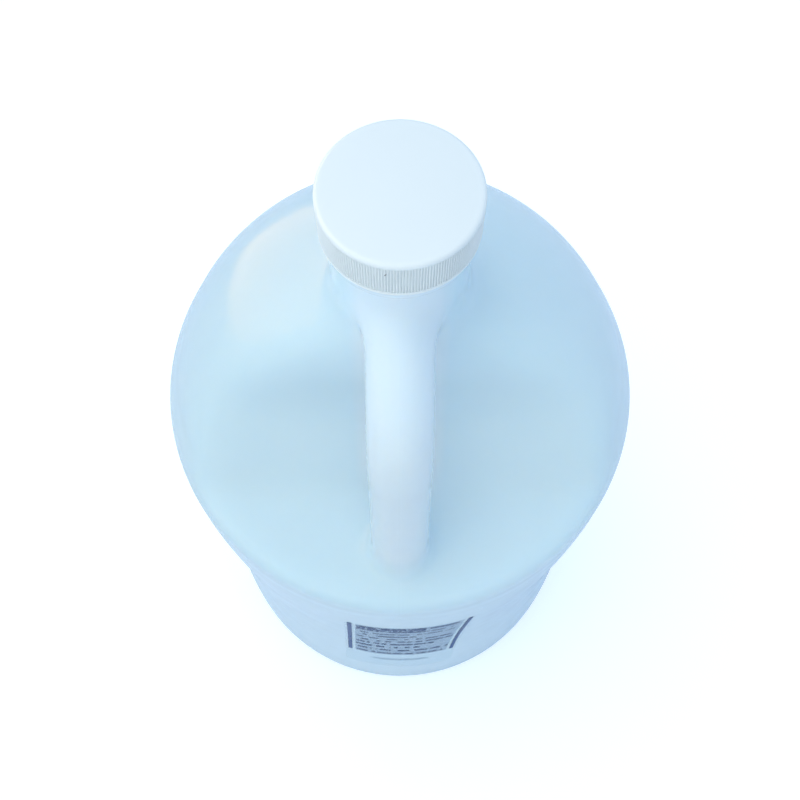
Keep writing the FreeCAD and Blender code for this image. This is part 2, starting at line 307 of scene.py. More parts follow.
skinWork = {
    "outerVoxel": 1.8 * mm,
    "innerVoxel": 2.7 * mm,
    "wall": 1.4 * mm,
    "neckWall": 2.7 * mm,
    "cut": capLow.z - 4.9 * mm,    # below the bead, where the turned neck takes over
    "margin": 4 * mm,              # empty space left round the jug
    "nudge": 0.2 * mm,             # step for measuring the distance's slope
    "leastSlope": 0.05,
}


def runDistance(y, z, startY, startZ, wayY, wayZ, near, far):
    along = (y - startY) * wayY + (z - startZ) * wayZ
    along = lesser(greater(along, near), far)
    return hypotenuse(y - startY - along * wayY, z - startZ - along * wayZ)


def wayBetween(fromY, fromZ, toY, toZ):
    long = hypotenuse(toY - fromY, toZ - fromZ)
    return (toY - fromY) / long, (toZ - fromZ) / long, long


def handleDistance(y, z, size):
    # root, bend and foot, the two runs joined by a tangent arc
    bendY = -size["bendReach"]
    bendZ = size["bendHeight"]
    upY, upZ, upLong = wayBetween(bendY, bendZ, 0.0, size["rootHeight"])
    downY, downZ, downLong = wayBetween(bendY, bendZ, -size["footReach"], size["footHeight"])
    cosine = upY * downY + upZ * downZ
    touch = size["bendRadius"] * mathNode("SQRT", (1.0 + cosine) / (1.0 - cosine))
    half = hypotenuse(upY + downY, upZ + downZ)
    far = size["bendRadius"] / mathNode("SQRT", (1.0 - cosine) * 0.5)
    centreY = bendY + (upY + downY) / half * far
    centreZ = bendZ + (upZ + downZ) / half * far
    upper = runDistance(y, z, bendY, bendZ, upY, upZ, touch, upLong)
    lower = runDistance(y, z, bendY, bendZ, downY, downZ, touch, downLong)
    straight = lesser(upper, lower)
    beforeUpper = mathNode("LESS_THAN", (y - centreY) * upY + (z - centreZ) * upZ, 0.0)
    beforeLower = mathNode("LESS_THAN", (y - centreY) * downY + (z - centreZ) * downZ, 0.0)
    arc = mathNode("ABSOLUTE", hypotenuse(y - centreY, z - centreZ) - size["bendRadius"])
    return straight + beforeUpper * beforeLower * (arc - straight)


def inFrontOf(y, z, lowY, lowZ, highY, highZ):
    # signed distance from a line across the jug, below 0 on the open side of the recess
    wayY, wayZ = wayBetween(lowY, lowZ, highY, highZ)[:2]
    return (y - lowY) * wayZ - (z - lowZ) * wayY


def distanceTree():
    sockets = {"Position": "Vector", "Wall": "Float", "Neck Wall": "Float"}
    sockets.update({name: "Float" for name in jugSizes})
    tree, given, result = newTree("jugDistance", "GeometryNodeTree", sockets, {"Distance": "Float"})
    size = {name: Field(given[name]) for name in jugSizes}
    x, y, z = separated(given["Position"])
    around = hypotenuse(x, y)
    # body: a tube with a waist under a dome that is an arc about a small circle
    along = (z - size["waistLow"]) / (size["waistHigh"] - size["waistLow"])
    waist = cosineBump(along) * size["waistDepth"]
    swelling = cosineBump((z - size["bumperHeight"]) / size["bumperReach"] * 0.5 + 0.5) * size["bumper"]
    above = greater(z - size["domeBase"], 0.0)
    body = hypotenuse(around + size["domeRadius"] - size["bodyRadius"], above)
    body = body - size["domeRadius"] + waist - swelling
    body = greater(body, -z, size["heelBlend"])
    dish = greater(around - size["pushUpRadius"], z - size["pushUp"], size["dishBlend"])
    body = greater(body, -dish, size["baseBlend"])
    # finger recess: a ledge and a back wall with a knee
    front = -size["bodyRadius"]
    crease = -size["creaseDepth"]
    knee = -size["kneeDepth"]
    ledge = inFrontOf(y, z, front, size["ledgeRim"], crease, size["creaseHeight"])
    lowWall = inFrontOf(y, z, crease, size["creaseHeight"], knee, size["kneeHeight"])
    highWall = inFrontOf(y, z, knee, size["kneeHeight"], -size["wallTopDepth"], size["wallTopHeight"])
    backWall = greater(lowWall, highWall, size["kneeBlend"])
    recess = greater(ledge, backWall, size["creaseBlend"])
    rise = (z - size["creaseHeight"]) / (size["kneeHeight"] - size["creaseHeight"])
    rise = limited(rise * size["archRise"])
    body = greater(body, -recess, size["edgeBlend"] + rise * size["archBlend"])
    neck = greater(around - size["neckRadius"], size["neckBase"] - z)
    body = lesser(body, neck, size["neckBlend"])
    # handle
    grown = limited((z - size["kneeHeight"]) / (size["rootHeight"] - size["kneeHeight"]))
    handle = hypotenuse(handleDistance(y, z, size), x) - size["handleRadius"] - grown * size["handleGrow"]
    body = lesser(body, handle, size["handleBlend"])
    thicker = limited((z - size["neckWallStart"]) / size["neckWallReach"])
    wall = Field(given["Wall"])
    plug(result["Distance"], body + wall + (Field(given["Neck Wall"]) - wall) * thicker)
    return tree


def skinTree(distance):
    sockets = {"Geometry": "Geometry", "Voxel": "Float", "Wall": "Float", "Neck Wall": "Float"}
    sockets.update({name: "Float" for name in jugSizes})
    sockets["Material"] = "Material"
    tree, given, result = newTree("jugSkin", "GeometryNodeTree", sockets, {"Geometry": "Geometry"})
    nodes = tree.nodes
    links = tree.links

    def distanceAt(vector):
        group = nodes.new("GeometryNodeGroup")
        group.node_tree = distance
        links.new(vector, group.inputs["Position"])
        for name in ("Wall", "Neck Wall", *jugSizes):
            links.new(given[name], group.inputs[name])
        return Field(group.outputs["Distance"])

    here = nodes.new("GeometryNodeInputPosition").outputs[0]
    reach = jugHigh.x + skinWork["margin"]
    low = (-reach, -reach, -skinWork["margin"])
    high = (reach, reach, rim)
    cube = nodes.new("GeometryNodeVolumeCube")
    cube.inputs["Min"].default_value = low
    cube.inputs["Max"].default_value = high
    cube.inputs["Background"].default_value = -1.0
    plug(cube.inputs["Density"], -distanceAt(here))
    for axis in range(3):
        cells = mathNode("DIVIDE", high[axis] - low[axis], Field(given["Voxel"]))
        plug(cube.inputs["Resolution " + "XYZ"[axis]], cells)
    surface = nodes.new("GeometryNodeVolumeToMesh")
    surface.resolution_mode = "GRID"
    surface.inputs["Threshold"].default_value = 0.0
    links.new(cube.outputs[0], surface.inputs["Volume"])
    geometry = surface.outputs["Mesh"]
    nudge = skinWork["nudge"]
    for attempt in range(2):     # two steps down the gradient put every point on the surface
        level = distanceAt(here)
        slopes = []
        for axis in range(3):
            beside = nodes.new("ShaderNodeVectorMath")
            links.new(here, beside.inputs[0])
            beside.inputs[1].default_value = [nudge if n == axis else 0 for n in range(3)]
            slopes.append((distanceAt(beside.outputs[0]) - level) / nudge)
        steep = slopes[0] * slopes[0] + slopes[1] * slopes[1] + slopes[2] * slopes[2]
        scale = -level / greater(steep, skinWork["leastSlope"])
        moved = nodes.new("GeometryNodeSetPosition")
        links.new(geometry, moved.inputs["Geometry"])
        links.new(combined(*[slope * scale for slope in slopes]), moved.inputs["Offset"])
        geometry = moved.outputs[0]
    endTree(tree, geometry, given["Material"], result["Geometry"])
    return tree


def endTree(tree, geometry, material, result):
    realized = tree.nodes.new("GeometryNodeRealizeInstances")
    painted = tree.nodes.new("GeometryNodeSetMaterial")
    tree.links.new(geometry, realized.inputs[0])
    tree.links.new(realized.outputs[0], painted.inputs["Geometry"])
    tree.links.new(material, painted.inputs["Material"])
    tree.links.new(painted.outputs[0], result)


neckFinish = {
    "wallRadius": 17.4 * mm,
    "neckRadius": jugSizes["neckRadius"],
    "boreRadius": 15.3 * mm,
    "beadRadius": 19.3 * mm,
    "beadTop": capLow.z - 0.8 * mm,
    "beadHeight": 2.4 * mm,
    "columns": 160,
}
neckThread = {
    "start": 0, "turns": 1.5, "pitch": 4.233 * mm, "low": neckFinish["beadTop"] + 2.6 * mm,
    "foot": 2.4 * mm, "crest": 1.2 * mm, "depth": 1.2 * mm, "fade": 0.08,
}


def addNeckFinish(mesh):
    # bead, thread, rim and bore; returns the ring at each open lower end
    size = neckFinish
    beadBase = size["beadTop"] - size["beadHeight"]
    wall = size["wallRadius"]
    path = roundedPath([
        (size["neckRadius"], skinWork["cut"]),
        (size["neckRadius"], beadBase, 0.4 * mm),
        (size["beadRadius"], beadBase, 0.5 * mm),
        (size["beadRadius"], size["beadTop"], 0.5 * mm),
        (wall, size["beadTop"], 0.3 * mm),
        (wall, rim, 0.5 * mm),
        (size["boreRadius"], rim, 0.6 * mm),
        (size["boreRadius"], skinWork["cut"]),
    ])
    path = divided(path, 0.35 * mm, size["beadTop"], rim)

    def threaded(angle, radius, height):
        onWall = abs(radius - wall) < 0.01 * mm
        return radius + threadHeight(angle, height, neckThread) if onWall else radius

    rings = turnedSurface(mesh, path, size["columns"], threaded)
    return rings[0], rings[-1]


def makeJug(material):
    tree = skinTree(distanceTree())
    jug = bmesh.new()
    edges = []
    for voxel, wall, neckWall in (
        (skinWork["outerVoxel"], 0.0, 0.0),
        (skinWork["innerVoxel"], skinWork["wall"], skinWork["neckWall"]),
    ):
        values = dict(jugSizes)
        values.update({"Voxel": voxel, "Wall": wall, "Neck Wall": neckWall, "Material": material})
        skin = madeMesh("skin", bpy.data.meshes.new("blank"), tree, values)
        part = bmesh.new()
        part.from_mesh(skin)
        bpy.data.meshes.remove(skin)
        bmesh.ops.bisect_plane(
            part, geom=part.verts[:] + part.edges[:] + part.faces[:], dist=1e-6,
            plane_co=(0, 0, skinWork["cut"]), plane_no=(0, 0, 1), clear_outer=True,
        )
        copy = {vert: jug.verts.new(vert.co) for vert in part.verts}
        for face in part.faces:
            jug.faces.new([copy[vert] for vert in face.verts])
        edges.append([copy[vert] for vert in part.verts if abs(vert.co.z - skinWork["cut"]) < 1e-6])
        part.free()
    outside, inside = addNeckFinish(jug)
    zipRings(jug, edges[0], outside)
    zipRings(jug, edges[1], inside)
    bmesh.ops.remove_doubles(jug, verts=jug.verts[:], dist=0.01 * mm)
    bmesh.ops.recalc_face_normals(jug, faces=jug.faces[:])
    mesh = bpy.data.meshes.new("mouldedJug")
    jug.to_mesh(mesh)
    jug.free()
    mesh.materials.append(material)
    softShaded(mesh, 50)
    return shownPiece("mouldedJug", mesh, "jug", "jug_plastic", "jug_body")


# screw cap: a turned shell with its inner thread, and ribs set round the skirt
capSizes = {
    "edge": 1.2 * mm,
    "grip": 0.33 * mm,          # how far the ribs stand out
    "gripTop": 1.7 * mm,        # plain rounded edge above the ribs
    "band": 1.1 * mm,           # plain band below them
    "insideRadius": 18.85 * mm,
    "top": 1.5 * mm,
    "gripSlope": 0.25 * mm,
    "ribs": 180,
    "ribWidth": 0.44 * mm,
    "ribSink": 0.05 * mm,       # how far a rib's ends and back sit in the wall
    "ribTaper": 0.3 * mm,
    "ribTopShare": 0.35,
    "columns": 180,
}
capThread = {
    "start": math.pi, "turns": 1.25, "pitch": 4.233 * mm, "low": neckThread["low"],
    "foot": 2.0 * mm, "crest": 1.0 * mm, "depth": 1.2 * mm, "fade": 0.08,
}


def capShell():
    size = capSizes
    outside = capHigh.x
    root = outside - size["grip"]
    path = roundedPath([
        (0, capHigh.z),
        (outside, capHigh.z, size["edge"]),
        (outside, capHigh.z - size["gripTop"], 0.1 * mm),
        (root, capHigh.z - size["gripTop"] - size["gripSlope"], 0.1 * mm),
        (root, capLow.z + size["band"], 0.1 * mm),
        (outside, capLow.z + size["band"], 0.15 * mm),
        (outside, capLow.z, 0.2 * mm),
        (size["insideRadius"], capLow.z, 0.3 * mm),
        (size["insideRadius"], capHigh.z - size["top"], 0.4 * mm),
        (0, capHigh.z - size["top"]),
    ])
    path = divided(path, 0.4 * mm, capLow.z + mm, linerLow.z)

    def threaded(angle, radius, height):
        onWall = abs(radius - size["insideRadius"]) < 0.01 * mm
        return radius - threadHeight(angle, height, capThread) if onWall else radius

    shell = bmesh.new()
    turnedSurface(shell, path, size["columns"], threaded)
    bmesh.ops.recalc_face_normals(shell, faces=shell.faces[:])
    mesh = bpy.data.meshes.new("capShell")
    shell.to_mesh(mesh)
    shell.free()
    return mesh


def ribBlank():
    # one rib on the +X side: half round, with a sloping top end
    size = capSizes
    root = capHigh.x - size["grip"] - size["ribSink"]
    low = capLow.z + size["band"] - size["ribSink"]
    high = capHigh.z - size["gripTop"]
    deep = capHigh.x - root
    steps = 6
    stations = [(low, 1), (high - size["ribTaper"], 1), (high, size["ribTopShare"])]
    rib = bmesh.new()
    rows = []
    for height, share in stations:
        rows.append([
            rib.verts.new((
                root + deep * share * math.sin(math.pi * step / steps),
                size["ribWidth"] / 2 * math.cos(math.pi * step / steps), height,
            )) for step in range(steps + 1)
        ])
    for lower, upper in zip(rows, rows[1:]):
        for step in range(steps):
            rib.faces.new((lower[step], lower[step + 1], upper[step + 1], upper[step]))
        rib.faces.new((lower[steps], lower[0], upper[0], upper[steps]))
    rib.faces.new(rows[-1])
    rib.faces.new(rows[0])
    bmesh.ops.recalc_face_normals(rib, faces=rib.faces[:])
    mesh = bpy.data.meshes.new("ribBlank")
    rib.to_mesh(mesh)
    rib.free()
    blank = bpy.data.objects.new("ribBlank", mesh)
    world.objects.link(blank)
    return blank


def ribTree():
    sockets = {"Geometry": "Geometry", "Rib": "Object", "Ribs": "Int", "Material": "Material"}
    tree, given, result = newTree("capRibs", "GeometryNodeTree", sockets, {"Geometry": "Geometry"})
    nodes = tree.nodes
    links = tree.links
    rib = nodes.new("GeometryNodeObjectInfo")
    links.new(given["Rib"], rib.inputs["Object"])
    points = nodes.new("GeometryNodePoints")
    links.new(given["Ribs"], points.inputs["Count"])
    index = Field(nodes.new("GeometryNodeInputIndex").outputs[0])
    turn = index * fullTurn / Field(given["Ribs"])
    around = nodes.new("GeometryNodeInstanceOnPoints")
    links.new(points.outputs[0], around.inputs["Points"])
    links.new(rib.outputs["Geometry"], around.inputs["Instance"])
    links.new(combined(0.0, 0.0, turn), around.inputs["Rotation"])
    together = nodes.new("GeometryNodeJoinGeometry")
    links.new(around.outputs[0], together.inputs[0])
    links.new(given["Geometry"], together.inputs[0])
    endTree(tree, together.outputs[0], given["Material"], result["Geometry"])
    return tree


def makeCap(material):
    blank = ribBlank()
    values = {"Rib": blank, "Ribs": capSizes["ribs"], "Material": material}
    mesh = madeMesh("ribbedCap", capShell(), ribTree(), values)
    bpy.data.objects.remove(blank)
    softShaded(mesh, 40)
    return shownPiece("ribbedCap", mesh, "cap", "cap_plastic", "cap")


# foam liner, pressed a little where the rim seals
linerSizes = {"corner": 0.15 * mm, "press": 0.06 * mm, "columns": 96}


def makeLiner(material):
    size = linerSizes
    outside = linerHigh.x
    rimOuter = neckFinish["wallRadius"]
    rimInner = neckFinish["boreRadius"]
    pressed = linerLow.z + size["press"]
    path = roundedPath([
        (0, linerHigh.z),
        (outside, linerHigh.z, size["corner"]),
        (outside, linerLow.z, size["corner"]),
        (rimOuter, linerLow.z, 0.1 * mm),
        (rimOuter - 0.2 * mm, pressed, 0.1 * mm),
        (rimInner + 0.2 * mm, pressed, 0.1 * mm),
        (rimInner, linerLow.z, 0.1 * mm),
        (0, linerLow.z),
    ])
    disc = bmesh.new()
    turnedSurface(disc, path, size["columns"])
    bmesh.ops.recalc_face_normals(disc, faces=disc.faces[:])
    mesh = bpy.data.meshes.new("foamLiner")
    disc.to_mesh(mesh)
    disc.free()
    mesh.materials.append(material)
    softShaded(mesh, 40)
    return shownPiece("foamLiner", mesh, "liner", "liner_foam", "cap_liner")


# label film, wrapped on the drawn-in panel a little crooked
labelSizes = {
    "width": 46 * mm,
    "height": 108 * mm,
    "corner": 3 * mm,
    "middle": (22 * mm + shoulder - 13 * mm) / 2 + 3 * mm,
    "shift": 1.4 * mm,
    "tilt": math.radians(2.4),
    "lift": 0.03 * mm,
    "thickness": 0.1 * mm,
    "columns": 40,
    "rows": 96,
}


def panelRadius(height):
    size = jugSizes
    share = (height - size["waistLow"]) / (size["waistHigh"] - size["waistLow"])
    return size["bodyRadius"] - size["waistDepth"] * (1 - math.cos(fullTurn * share)) / 2


def makeLabel(material):
    size = labelSizes
    film = bmesh.new()
    mapped = film.loops.layers.uv.new("labelPrint")
    flat = {}
    sheets = []
    for lift in (size["lift"], size["lift"] + size["thickness"]):
        rows = []
        for row in range(size["rows"] + 1):
            # rows crowd towards both ends, where the corners are round
            up = -math.cos(math.pi * row / size["rows"]) * size["height"] / 2
            into = max(abs(up) - size["height"] / 2 + size["corner"], 0)
            half = size["width"] / 2 - size["corner"] + math.sqrt(size["corner"] ** 2 - into ** 2)
            line = []
            for column in range(size["columns"] + 1):
                across = (2 * column / size["columns"] - 1) * half
                side = across * math.cos(size["tilt"]) + up * math.sin(size["tilt"]) + size["shift"]
                height = up * math.cos(size["tilt"]) - across * math.sin(size["tilt"]) + size["middle"]
                radius = panelRadius(height)
                angle = side / radius
                radius += lift
                vert = film.verts.new((radius * math.sin(angle), -radius * math.cos(angle), height))
                flat[vert] = (across / size["width"] + 0.5, up / size["height"] + 0.5)
                line.append(vert)
            rows.append(line)
        sheets.append(rows)
        for lower, upper in zip(rows, rows[1:]):
            for column in range(size["columns"]):
                film.faces.new((lower[column], lower[column + 1], upper[column + 1], upper[column]))
    edges = []
    for rows in sheets:
        right = [line[-1] for line in rows[1:]]
        left = [line[0] for line in rows[-2:0:-1]]
        edges.append(rows[0] + right + rows[-1][-2::-1] + left)
    for number, vert in enumerate(edges[0]):
        film.faces.new((vert, edges[0][number - 1], edges[1][number - 1], edges[1][number]))
    for face in film.faces:
        for loop in face.loops:
            loop[mapped].uv = flat[loop.vert]
    bmesh.ops.recalc_face_normals(film, faces=film.faces[:])
    mesh = bpy.data.meshes.new("labelFilm")
    film.to_mesh(mesh)
    film.free()
    mesh.materials.append(material)
    softShaded(mesh, 40)
    return shownPiece("labelFilm", mesh, "jug", "label_film", "label")


# shared effects
def noiseAt(vector, scale, detail=2.0, roughness=0.5):
    node = Field.tree.nodes.new("ShaderNodeTexNoise")
    plug(node.inputs["Vector"], vector)
    node.inputs["Scale"].default_value = scale
    node.inputs["Detail"].default_value = detail
    node.inputs["Roughness"].default_value = roughness
    return Field(node.outputs["Fac"])


def scaled(vector, x, y, z):
    node = Field.tree.nodes.new("ShaderNodeMapping")
    plug(node.inputs["Vector"], vector)
    node.inputs["Scale"].default_value = (x, y, z)
    return node.outputs[0]


grain = {
    "cloud": 22.0,
    "streak": (260, 260, 9),
    "gloss": 60.0,
    "peel": 420.0,
    "fine": 2600.0,
    "scuffs": ((900, 120, 500), (160, 800, 700)),
    "scuffPatch": 90.0,
}


def mouldedSurfaceTree():
    # cloudy colour, uneven gloss and fine orange peel of moulded polyethylene
    sockets = {"Vector": "Vector", "Cloud": "Float", "Streak": "Float"}
    outputs = {"Shade": "Float", "Gloss": "Float", "Height": "Float"}
    tree, given, result = newTree("mouldedSurface", "ShaderNodeTree", sockets, outputs)
    place = given["Vector"]
    cloud = noiseAt(place, grain["cloud"], 3.0, 0.55) - 0.5
    streak = noiseAt(scaled(place, *grain["streak"]), 1.0, 2.0) - 0.5
    plug(result["Shade"], cloud * Field(given["Cloud"]) + streak * Field(given["Streak"]) + 0.5)
    plug(result["Gloss"], noiseAt(place, grain["gloss"], 4.0, 0.6))
    peel = noiseAt(place, grain["peel"], 2.0, 0.5)
    fine = noiseAt(place, grain["fine"], 1.0)
    plug(result["Height"], peel * 0.6 + streak * 0.8 + fine * 0.2)
    return tree


def scuffTree():
    # short fine scratches: thin lines where either of two stretched noises crosses its middle, in patches
    sockets = {"Vector": "Vector", "Amount": "Float"}
    tree, given, result = newTree("fineScuffs", "ShaderNodeTree", sockets, {"Scuff": "Float"})
    place = given["Vector"]
    lines = []
    for stretch in grain["scuffs"]:
        line = mathNode("ABSOLUTE", noiseAt(scaled(place, *stretch), 1.0, 1.0) - 0.5)
        lines.append(limited(1.0 - line * 40.0))
    patch = limited((noiseAt(place, grain["scuffPatch"], 2.0) - 0.56) * 9.0)
    plug(result["Scuff"], greater(lines[0], lines[1]) * patch * Field(given["Amount"]))
    return tree


printSizes = {                   # in millimetres, from the middle of the printed block
    "blockRise": 13.6,           # the block's middle above the film's
    "blockHalf": 40.0,
    "bar": (20.2, 21.9),
    "pitch": 8.0,
    "rowShare": (0.18, 0.72),
    "rowHalf": 18.9,
    "tintHalf": 19.1,
    "tint": 0.18,
    "headingAcross": (-18.6, 6.0),
    "headingUp": (27.0, 38.5),
    "heading": 0.8,
    "footerHalf": 13.0,
    "footerUp": (-54.0, -48.0),
    "footer": 0.16,
}


def within(value, low, high, soft):
    return limited((value - low) / soft) * limited((high - value) / soft)


def printTree():
    # unreadable rows of small print between two bars, over UV that runs 0..1 on the film
    tree, given, result = newTree("unreadablePrint", "ShaderNodeTree", {"UV": "Vector"}, {"Ink": "Float"})
    size = printSizes
    across, up = separated(given["UV"])[:2]
    x = (across - 0.5) * (labelSizes["width"] / mm)
    y = (up - 0.5) * (labelSizes["height"] / mm) - size["blockRise"]
    aside = mathNode("ABSOLUTE", x)
    inBlock = within(y, -size["blockHalf"], size["blockHalf"], 0.25)
    bars = within(aside, *size["bar"], 0.12) * inBlock
    rows = (y + size["blockHalf"]) / size["pitch"]
    row = mathNode("FLOOR", rows)
    inRow = within(rows - row, *size["rowShare"], 0.12)
    chance = Field.tree.nodes.new("ShaderNodeTexWhiteNoise")
    chance.noise_dimensions = "1D"
    plug(chance.inputs["W"], row)
    luck = Field(chance.outputs["Value"])
    weight = Field(chance.outputs["Color"])
    words = limited((noiseAt(combined(x * 0.42, row * 7.3, 0.0), 1.0, 1.0) - 0.40) * 14.0)
    letters = limited((noiseAt(combined(x * 2.1, y * 1.1, row * 3.7), 1.0, 1.0) - 0.34) * 6.0)
    rowEnd = size["rowHalf"] - 0.1 - mathNode("POWER", luck, 5.0) * 22.0
    inLine = limited((rowEnd - x) / 0.3) * limited((x + size["rowHalf"]) / 0.3)
    text = inRow * words * letters * inLine * inBlock * (0.35 + weight * 0.65)
    heading = within(y, *size["headingUp"], 0.4) * within(x, *size["headingAcross"], 0.4)
    blotches = limited((noiseAt(combined(x * 0.7, y * 0.45, 2.0), 1.0, 1.0) - 0.44) * 8.0)
    heading = heading * blotches * size["heading"]
    tint = inBlock * limited((size["tintHalf"] - aside) / 0.3) * size["tint"]
    footer = within(y, *size["footerUp"], 1.6) * limited((size["footerHalf"] - aside) / 3.0)
    ink = greater(greater(bars, text), greater(heading, tint))
    plug(result["Ink"], greater(ink, footer * size["footer"]))
    return tree


def startMaterial(name):
    material = bpy.data.materials.new(name)
    material.use_nodes = True
    Field.tree = material.node_tree
    return material, material.node_tree.nodes["Principled BSDF"].inputs


def placedGroup(tree, **values):
    node = Field.tree.nodes.new("ShaderNodeGroup")
    node.node_tree = tree
    for name, value in values.items():
        plug(node.inputs[name], value)
    return node.outputs


def objectPlace():
    return Field.tree.nodes.new("ShaderNodeTexCoord").outputs["Object"]


def mixedColour(share, first, second):
    node = Field.tree.nodes.new("ShaderNodeMix")
    node.data_type = "RGBA"
    plug(node.inputs["Factor"], share)
    for name, colour in (("A", first), ("B", second)):
        plug(node.inputs[name], (*colour, 1) if isinstance(colour, tuple) else colour)
    return node.outputs["Result"]


def bumped(height, distance, strength=1.0):
    node = Field.tree.nodes.new("ShaderNodeBump")
    node.inputs["Strength"].default_value = strength
    node.inputs["Distance"].default_value = distance
    plug(node.inputs["Height"], height)
    return node.outputs["Normal"]


jugFinish = {
    "pale": (0.70, 0.855, 0.98),
    "deep": (0.65, 0.82, 0.96),
    "milky": (0.76, 0.86, 0.94),    # the thicker plastic of the handle and neck
    "milkyHalf": 14 * mm,
    "milkyLow": shoulder + 14 * mm,
    "milkyFade": 10 * mm,
    "roughness": 0.15,
    "specular": 0.5,
    "glossSpread": 0.10,
    "scuffGloss": 0.25,
    "scatter": 1.0,
    "scatterRadius": (0.8, 0.9, 1.0),
    "scatterScale": 2.5 * mm,
    "partingWidth": 0.5 * mm,
    "bump": 0.05 * mm,
}


def jugPlastic(surface, scuffs):
    finish = jugFinish
    material, socket = startMaterial("naturalPolyethylene")
    place = objectPlace()
    moulded = placedGroup(surface, Vector=place, Cloud=0.7, Streak=0.25)
    scuff = Field(placedGroup(scuffs, Vector=place, Amount=0.25)["Scuff"])
    shade = limited(Field(moulded["Shade"]))
    x, y, z = separated(place)
    aside = mathNode("ABSOLUTE", x)
    thick = limited((finish["milkyHalf"] - aside) / (0.4 * finish["milkyFade"]))
    thick = thick * limited((z - finish["milkyLow"]) / finish["milkyFade"])
    thick = thick * limited(-y / finish["milkyFade"])
    thin = mixedColour(shade, finish["deep"], finish["pale"])
    plug(socket["Base Color"], mixedColour(thick, thin, finish["milky"]))
    uneven = (Field(moulded["Gloss"]) - 0.5) * finish["glossSpread"]
    plug(socket["Roughness"], finish["roughness"] + uneven + scuff * finish["scuffGloss"])
    parting = limited(1.0 - aside / finish["partingWidth"])
    height = Field(moulded["Height"]) * 0.5 + parting * 0.6 - scuff * 0.3
    plug(socket["Normal"], bumped(height, finish["bump"], 0.6))
    socket["Specular IOR Level"].default_value = finish["specular"]
    socket["Subsurface Weight"].default_value = finish["scatter"]
    socket["Subsurface Radius"].default_value = finish["scatterRadius"]
    socket["Subsurface Scale"].default_value = finish["scatterScale"]
    return material


capFinish = {
    "white": (0.86, 0.90, 0.88),
    "shade": (0.83, 0.875, 0.86),
    "roughness": 0.38,
    "speck": (-3.2 * mm, -19.7 * mm, 295.6 * mm),
    "speckRadius": 0.36 * mm,
    "dirt": (0.05, 0.06, 0.08),
    "glossSpread": 0.12,
    "scuffGloss": 0.2,
    "scatter": 0.3,
    "scatterRadius": (1.0, 1.0, 1.0),
    "scatterScale": 1.5 * mm,
    "bump": 0.03 * mm,
}


def capPlastic(surface, scuffs):
    finish = capFinish
    material, socket = startMaterial("whiteCapPlastic")
    place = objectPlace()
    moulded = placedGroup(surface, Vector=place, Cloud=0.8, Streak=0.0)
    scuff = Field(placedGroup(scuffs, Vector=place, Amount=0.2)["Scuff"])
    away = Field.tree.nodes.new("ShaderNodeVectorMath")
    away.operation = "DISTANCE"
    plug(away.inputs[0], place)
    away.inputs[1].default_value = finish["speck"]
    dirt = limited((finish["speckRadius"] - Field(away.outputs["Value"])) / (0.1 * mm))
    colour = mixedColour(limited(Field(moulded["Shade"])), finish["shade"], finish["white"])
    plug(socket["Base Color"], mixedColour(dirt, colour, finish["dirt"]))
    uneven = (Field(moulded["Gloss"]) - 0.5) * finish["glossSpread"]
    plug(socket["Roughness"], finish["roughness"] + uneven + scuff * finish["scuffGloss"])
    plug(socket["Normal"], bumped(Field(moulded["Height"]) - scuff * 0.4, finish["bump"], 0.6))
    socket["Subsurface Weight"].default_value = finish["scatter"]
    socket["Subsurface Radius"].default_value = finish["scatterRadius"]
    socket["Subsurface Scale"].default_value = finish["scatterScale"]
    return material


linerFinish = {
    "pale": (0.84, 0.86, 0.87),
    "deep": (0.70, 0.74, 0.76),
    "cells": 2600.0,
    "roughness": 0.72,
    "glossSpread": 0.15,
    "bump": 0.08 * mm,
}


def linerFoam(surface):
    finish = linerFinish
    material, socket = startMaterial("whiteFoam")
    place = objectPlace()
    moulded = placedGroup(surface, Vector=place, Cloud=1.0, Streak=0.0)
    plug(socket["Base Color"], mixedColour(limited(Field(moulded["Shade"])), finish["deep"], finish["pale"]))
    cells = Field.tree.nodes.new("ShaderNodeTexVoronoi")
    cells.inputs["Scale"].default_value = finish["cells"]
    plug(cells.inputs["Vector"], place)
    plug(socket["Normal"], bumped(Field(cells.outputs["Distance"]), finish["bump"], 0.8))
    uneven = (Field(moulded["Gloss"]) - 0.5) * finish["glossSpread"]
    plug(socket["Roughness"], finish["roughness"] + uneven)
    return material


labelFinish = {
    "ink": (0.030, 0.075, 0.230),
    "film": (0.66, 0.84, 0.93),
    "veil": 0.06,                # how much the bare film hides
    "roughness": 0.2,
    "glossSpread": 0.1,
    "specular": 0.03,
    "bump": 0.02 * mm,
}


def labelPrint(surface, printed):
    finish = labelFinish
    material, socket = startMaterial("printedFilm")
    mapped = Field.tree.nodes.new("ShaderNodeUVMap")
    mapped.uv_map = "labelPrint"
    ink = Field(placedGroup(printed, UV=mapped.outputs[0])["Ink"])
    moulded = placedGroup(surface, Vector=objectPlace(), Cloud=0.3, Streak=0.0)
    plug(socket["Base Color"], mixedColour(limited(ink * 3.0), finish["film"], finish["ink"]))
    plug(socket["Alpha"], limited(finish["veil"] + ink * 0.9))
    plug(socket["Roughness"], finish["roughness"] + Field(moulded["Gloss"]) * finish["glossSpread"])
    socket["Specular IOR Level"].default_value = finish["specular"]
    plug(socket["Normal"], bumped(Field(moulded["Height"]), finish["bump"], 0.5))
    return material


surface = mouldedSurfaceTree()
scuffs = scuffTree()
makeJug(jugPlastic(surface, scuffs))
makeCap(capPlastic(surface, scuffs))
makeLiner(linerFoam(surface))
makeLabel(labelPrint(surface, printTree()))


